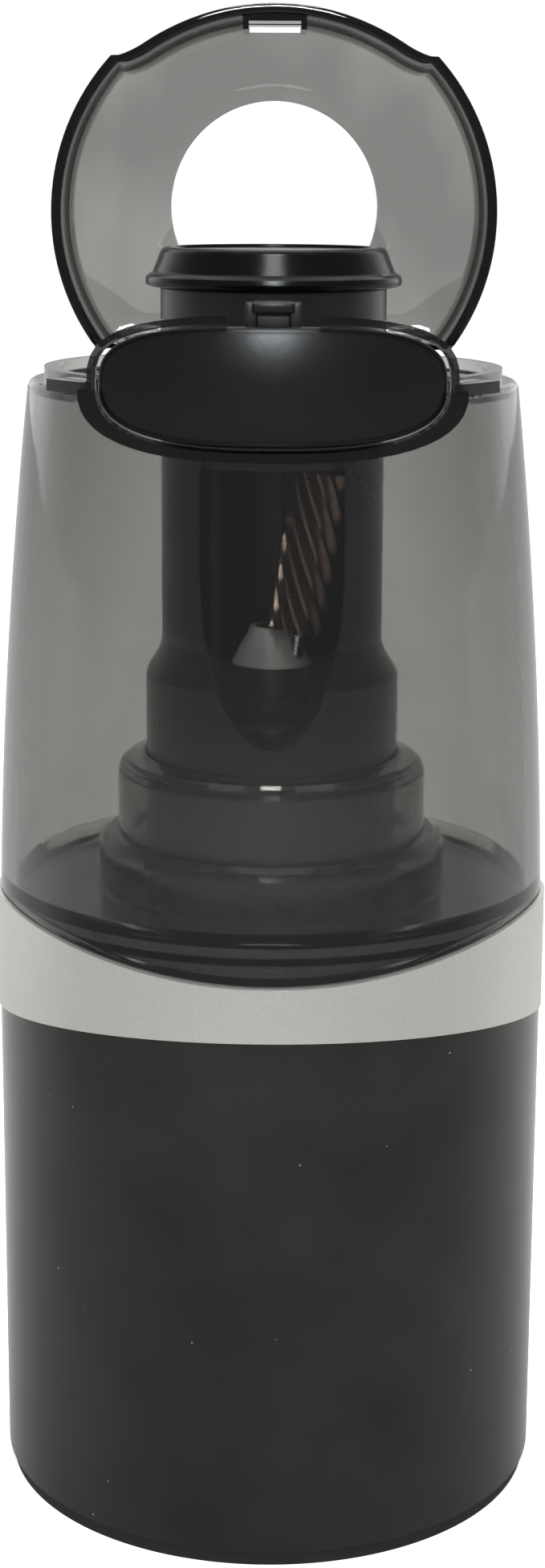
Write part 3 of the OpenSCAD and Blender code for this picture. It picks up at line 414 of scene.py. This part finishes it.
def loop_rows(rows, ring_closed=True):
    """Quads between neighbouring rows of a closed band of rows; each row is a closed ring."""
    count = len(rows[0])
    points = [p for row in rows for p in row]
    faces = []
    last = len(rows) if ring_closed else len(rows) - 1
    for j in range(last):
        a = j * count
        b = ((j + 1) % len(rows)) * count
        for i in range(count):
            k = (i + 1) % count
            faces.append((a + i, a + k, b + k, b + i))
    return points, faces


def box_object(name, low, high, material, bevel=0.15):
    """A box with rounded edges, from its low and high corners in millimetres."""
    xs, ys, zs = zip(low, high)
    points = [(x, y, z) for x in xs for y in ys for z in zs]
    faces = [(0, 1, 3, 2), (4, 6, 7, 5), (0, 4, 5, 1), (2, 3, 7, 6), (0, 2, 6, 4), (1, 5, 7, 3)]
    obj = mesh_object(name, points, faces, material)
    if bevel:
        round_edges = obj.modifiers.new("round", "BEVEL")
        round_edges.width = bevel * MM
        round_edges.segments = 3
        bake(obj)
    return obj


def bake(obj):
    """Replaces the mesh by what its modifiers make of it."""
    graph = bpy.context.evaluated_depsgraph_get()
    graph.update()
    made = bpy.data.meshes.new_from_object(obj.evaluated_get(graph))
    obj.modifiers.clear()
    obj.data = made


def combine(obj, other, operation):
    """Adds other to obj, or cuts it away, and deletes other."""
    step = obj.modifiers.new("combine", "BOOLEAN")
    step.operation = operation
    step.solver = "EXACT"
    step.object = other
    bake(obj)
    bpy.data.objects.remove(other)


def join(name, objects):
    """One object of several, with all their faces."""
    bm = bmesh.new()
    for obj in objects:
        bm.from_mesh(obj.data)
    mesh = bpy.data.meshes.new(name)
    bm.to_mesh(mesh)
    bm.free()
    mesh.materials.append(objects[0].data.materials[0])
    joined = bpy.data.objects.new(name, mesh)
    bpy.context.scene.collection.objects.link(joined)
    for obj in objects:
        bpy.data.objects.remove(obj)
    return joined


PLATE_Z = 164.7
PLATE_HALF_W = 22.7
PLATE_HALF_H = 7.75
PLATE_R = 38.4


def plate_point(angle, share, inset, depth, domed=True):
    """A point at a share of the way out to the plate's outline moved in by inset, set back by depth."""
    squareness = 2.9
    dome = 0.9
    power = 2 / squareness
    c = math.cos(angle)
    s = math.sin(angle)
    x = share * (PLATE_HALF_W - inset) * math.copysign(abs(c) ** power, c)
    rise = share * (PLATE_HALF_H - inset) * math.copysign(abs(s) ** power, s)
    y = -math.sqrt((PLATE_R - depth) ** 2 - x ** 2)
    if domed:
        y += dome * (rise / PLATE_HALF_H) ** 2
    return (x, y, PLATE_Z + rise)


def make_front_plate():
    """The rocking plate: a domed oval with rolled edges, and the hook above it."""
    count = 96
    angles = [2 * math.pi * (i + 0.5) / count for i in range(count)]
    edge = 0.9
    thickness = 1.9
    steps = 6
    rows = []
    for share in (0.04, 0.15, 0.3, 0.45, 0.6, 0.75, 0.88, 0.96):
        rows.append([plate_point(a, share, edge, 0) for a in angles])
    for k in range(steps + 1):
        turn = math.pi / 2 * k / steps
        inset = edge * (1 - math.sin(turn))
        back = edge * (1 - math.cos(turn)) * 0.75
        rows.append([plate_point(a, 1, inset, back) for a in angles])
    for share in (0.99, 0.6, 0.04):
        rows.append([plate_point(a, share, 0, thickness, False) for a in angles])
    points, faces = loop_rows(rows, ring_closed=False)
    faces.append(tuple(range(count)))
    faces.append(tuple(range(len(points) - count, len(points))))
    black = satin_black("plate_black", 0.24, 0.34, (0.003, 0.003, 0.003), 0.34)
    plate = mesh_object("front_plate", points, faces, black)
    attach(plate, "latch")
    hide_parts("latch_plate")
    hook = []
    for side in (-1, 1):
        low_x, high_x = sorted((side * 2.1, side * 3.6))
        hook.append(box_object("prong", (low_x, -36.2, 169.5), (high_x, -30.8, 175.3), black, 0.12))
    hook.append(box_object("bar", (-2.6, -36.5, 174.1), (2.6, -29.5, 175.35), black, 0.2))
    hook.append(box_object("web", (-3.4, -35.0, 168.5), (3.4, -34.2, 174.2), black, 0.1))
    for side in (-1, 1):
        hook.append(pivot_ear(side, black))
    hook = join("latch_hook", hook)
    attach(hook, "latch")


def pivot_ear(side, material):
    """An ear behind the plate, bored for the pin that the plate rocks on."""
    width = 1.6
    pin_y = -33.9
    boss_r = 1.2
    bore_r = 0.75
    x0 = side * 7.2 - width / 2
    ear = bar("ear", x0, x0 + width, pin_y, PLATE_Z, boss_r, material)
    arm = box_object("arm", (x0 + 0.01, pin_y - 2.9, PLATE_Z - 1.19),
                     (x0 + width - 0.01, pin_y, PLATE_Z + 1.19), material, 0)
    combine(ear, arm, "UNION")
    bore = bar("bore", x0 - 1, x0 + width + 1, pin_y, PLATE_Z, bore_r, material)
    combine(ear, bore, "DIFFERENCE")
    return ear


LID_R = 32.9
LID_SET_BACK = 0.9
LID_TOP_Z = 182.4
LID_LOW_Z = 165.2
LID_WALL = 1.5
LID_WALL_TOP = 1.1
LID_HOLE_R = 15.75
HINGE_Y = 20.7
HINGE_Z = 165.5
NOTCH_X = 23.6


def front_edge(x):
    """The closed lid's front edge in plan, at a distance x from the middle."""
    nose_y = -29.15
    curl_x = 19
    curl = 0.047
    arc_r = 35
    on_arc = min(abs(x), curl_x)
    past = abs(x) - on_arc
    slope = curl_x / math.sqrt(arc_r ** 2 - curl_x ** 2)
    return nose_y + arc_r - math.sqrt(arc_r ** 2 - on_arc ** 2) + slope * past - curl * past ** 2


def lid_reach(angle, lean):
    """How far the closed lid's outline is from the drum's axis, by halving."""
    c = math.cos(angle)
    s = math.sin(angle)
    hinge_gap = 0.2
    halvings = 30
    near = 10.0
    far = LID_R
    for _ in range(halvings):
        r = (near + far) / 2
        x = r * c
        y = r * s + LID_SET_BACK
        out = y > HINGE_Y - hinge_gap or (abs(x) < NOTCH_X and y < front_edge(x) + lean)
        near, far = (near, r) if out else (r, far)
    return near


def opened(x, y, z):
    """Where a point of the closed lid goes when the lid stands open at a right angle."""
    return (x, HINGE_Y + (z - HINGE_Z), HINGE_Z - (y - HINGE_Y))


def lid_profile():
    """Inset and height up the drum's outside and over its corner, then down its inside.

    The inside corner is filled by a steep cone, so the clear plastic is thicker there.
    """
    corner = 1.3
    cone_in = 1.2
    cone_down = 3.2
    steps = 6
    ceiling = LID_TOP_Z - LID_WALL
    outside = [(0.75, LID_LOW_Z), (0.25, LID_LOW_Z), (0.07, LID_LOW_Z + 0.08), (0, LID_LOW_Z + 0.3)]
    outside += [(0.05, LID_LOW_Z + 6), (0.15, LID_TOP_Z - corner - 0.2)]
    for k in range(steps + 1):
        turn = math.pi / 2 * k / steps
        outside.append((0.15 + corner * (1 - math.cos(turn)),
                        LID_TOP_Z - corner * (1 - math.sin(turn))))
    inside = [(LID_WALL_TOP + cone_in + 0.15, ceiling),
              (LID_WALL_TOP + cone_in + 0.02, ceiling - 0.05),
              (LID_WALL_TOP + cone_in - 0.05, ceiling - 0.2),
              (LID_WALL_TOP + 0.05, ceiling - cone_down + 0.2),
              (LID_WALL_TOP, ceiling - cone_down - 0.1)]
    inside += [(LID_WALL - 0.15, LID_LOW_Z + 6), (LID_WALL, LID_LOW_Z + 0.3),
               (LID_WALL - 0.07, LID_LOW_Z + 0.08), (LID_WALL - 0.25, LID_LOW_Z)]
    return outside, inside


def lid_ring(inset, z):
    """A closed row of points on the closed lid's outline, moved in by inset, at height z."""
    count = 240
    lean_angle = 2
    lean = math.tan(math.radians(lean_angle)) * (z - LID_LOW_Z)
    row = []
    for i in range(count):
        a = 2 * math.pi * i / count
        r = lid_reach(a, lean) - inset
        row.append((r * math.cos(a), r * math.sin(a) + LID_SET_BACK, z))
    return row


def make_lid():
    """The open lid: a drum with rounded corners and a pencil hole, moulded in one clear piece."""
    smoke = smoke_clear("smoke_lid", 1000, 0.03, 0.66)

    def towards_hole(row, share, z, r):
        moved = []
        for x, y, _ in row:
            a = math.atan2(y, x)
            moved.append((x + (r * math.cos(a) - x) * share, y + (r * math.sin(a) - y) * share, z))
        return moved

    outside, inside = lid_profile()
    low_z = LID_TOP_Z - LID_WALL
    rows = [lid_ring(d, z) for d, z in outside]
    top = rows[-1]
    for share in (0.35, 0.7, 1.0):
        rows.append(towards_hole(top, share, LID_TOP_Z, LID_HOLE_R + 0.3))
    high_z = LID_TOP_Z
    for z, flare in ((high_z - 0.1, 0.06), (high_z - 0.35, 0), (low_z + 0.35, 0), (low_z + 0.1, 0.06)):
        rows.append(towards_hole(top, 1.0, z, LID_HOLE_R + flare))
    bottom = lid_ring(*inside[0])
    for share in (1.0, 0.7, 0.35):
        rows.append(towards_hole(bottom, share, low_z, LID_HOLE_R + 0.3))
    rows += [lid_ring(d, z) for d, z in inside]
    points, faces = loop_rows([[opened(*p) for p in row] for row in rows])
    lid = mesh_object("lid_shell", points, faces, smoke)
    add_catch(lid, smoke)
    add_hinge_barrels(lid, smoke)
    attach(lid, "lid")
    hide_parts("lid")
    smooth_by_angle(lid)


def add_catch(lid, material):
    """The block behind the lid's front wall, its recess, the hook's window and the moulding slot."""
    half_w = 4.65
    slot_half_w = 3.8
    block = closed_box("catch", (-half_w, -28.3, 165.5), (half_w, -25.4, LID_TOP_Z - 0.4), material)
    combine(lid, block, "UNION")
    cuts = (
        ("gap", (-26.45, 160), (-20, LID_TOP_Z - LID_WALL)),
        ("window", (-34, 173.7), (-25, 176.6)),
        ("slot", (-26.6, 160), (-25.7, 200)),
    )
    for name, low, high in cuts:
        cut = closed_box(name, (-slot_half_w, *low), (slot_half_w, *high), material)
        combine(lid, cut, "DIFFERENCE")


def bar(name, x0, x1, y, z, r, material, count=48):
    """A round bar along X from x0 to x1."""
    angles = [2 * math.pi * i / count for i in range(count)]
    rows = [[(x, y + r * math.cos(a), z + r * math.sin(a)) for a in angles] for x in (x0, x1)]
    points, faces = loop_rows(rows, ring_closed=False)
    faces.append(tuple(range(count)))
    faces.append(tuple(range(count, 2 * count)))
    return mesh_object(name, points, faces, material)


def add_hinge_barrels(lid, material):
    """The lid's two hinge barrels with their webs, the notches for the bin's lugs, and the bore."""
    barrel_r = 2.0
    inner_x = 2.6
    outer_x = 17.2
    notch_r = 2.4
    notch_w = 5
    bore_r = 0.95
    for x0, x1 in ((-outer_x, -inner_x), (inner_x, outer_x)):
        combine(lid, bar("barrel", x0, x1, HINGE_Y, HINGE_Z, barrel_r, material), "UNION")
        web = closed_box("web", (x0 + 0.1, HINGE_Y - 1.9, HINGE_Z + 0.1),
                         (x1 - 0.1, HINGE_Y - 0.3, HINGE_Z + 4), material)
        combine(lid, web, "UNION")
    for x0 in (-22.3, -2.5, 17.3):
        notch = bar("notch", x0, x0 + notch_w, HINGE_Y, HINGE_Z, notch_r, material)
        combine(lid, notch, "DIFFERENCE")
    combine(lid, bar("bore", -30, 30, HINGE_Y, HINGE_Z, bore_r, material), "DIFFERENCE")


def turned(name, outline, material, count=96):
    """A turned piece about the vertical axis, from a closed outline of radius and height."""
    rows = []
    for k in range(count):
        a = 2 * math.pi * k / count
        rows.append([(r * math.cos(a), r * math.sin(a), z) for r, z in outline])
    points, faces = loop_rows(rows)
    obj = mesh_object(name, points, faces, material)
    smooth_by_angle(obj, 30)
    return obj


def make_hub_cone():
    """Light grey cap over the cone of the hub that carries the cutter cage: a painted highlight on the
    dark hub.
    """
    # The cap's light grey colour is a painted highlight: the hub's own plastic is dark, and the lamp's
    # reflection is painted onto it.
    painted_highlight = satin_black("hub_painted_highlight", 0.2, 0.34, (0.72, 0.7, 0.66), 0.8)
    outline = [(4.9, 122.15), (5.62, 122.2), (5.78, 122.3), (5.78, 122.6), (5.6, 122.85),
               (3.3, 127.55), (3.1, 127.78), (2.9, 127.8), (2.4, 127.75), (4.5, 122.6)]
    cone = turned("hub_cone", outline, painted_highlight)
    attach(cone, "carrier")


def closed_box(name, low, high, material):
    """A plain box given in the closed lid's place, put where the open lid has it."""
    a = opened(*low)
    b = opened(*high)
    low = tuple(min(p) for p in zip(a, b))
    high = tuple(max(p) for p in zip(a, b))
    return box_object(name, low, high, material, 0)


def smooth_by_angle(obj, degrees=35):
    obj.data.shade_smooth()
    obj.data.set_sharp_from_angle(angle=math.radians(degrees))


make_camera()
make_world()
make_floor()
bpy.context.scene.view_settings.view_transform = "Standard"
area_light("key", (0.0, -0.8, 0.87), (0, 0, 0.18), (0.26, 0.2), 2.2, (0.93, 0.97, 1.0))
area_light("upper", (0.0, -0.6, 1.08), (0, 0, 0.15), (0.25, 0.25), 4.5, (0.93, 0.97, 1.0))
area_light("front", (0.0, -0.9, 0.5), (0, 0, 0.165), (0.2, 0.1), 3.2, (0.9, 0.96, 1.0))
area_light("overhead", (0, 0.3, 1.6), (0, 0, 0.1), (1.4, 1.4), 7)
dress_cad()

make_front_plate()
make_lid()
make_hub_cone()
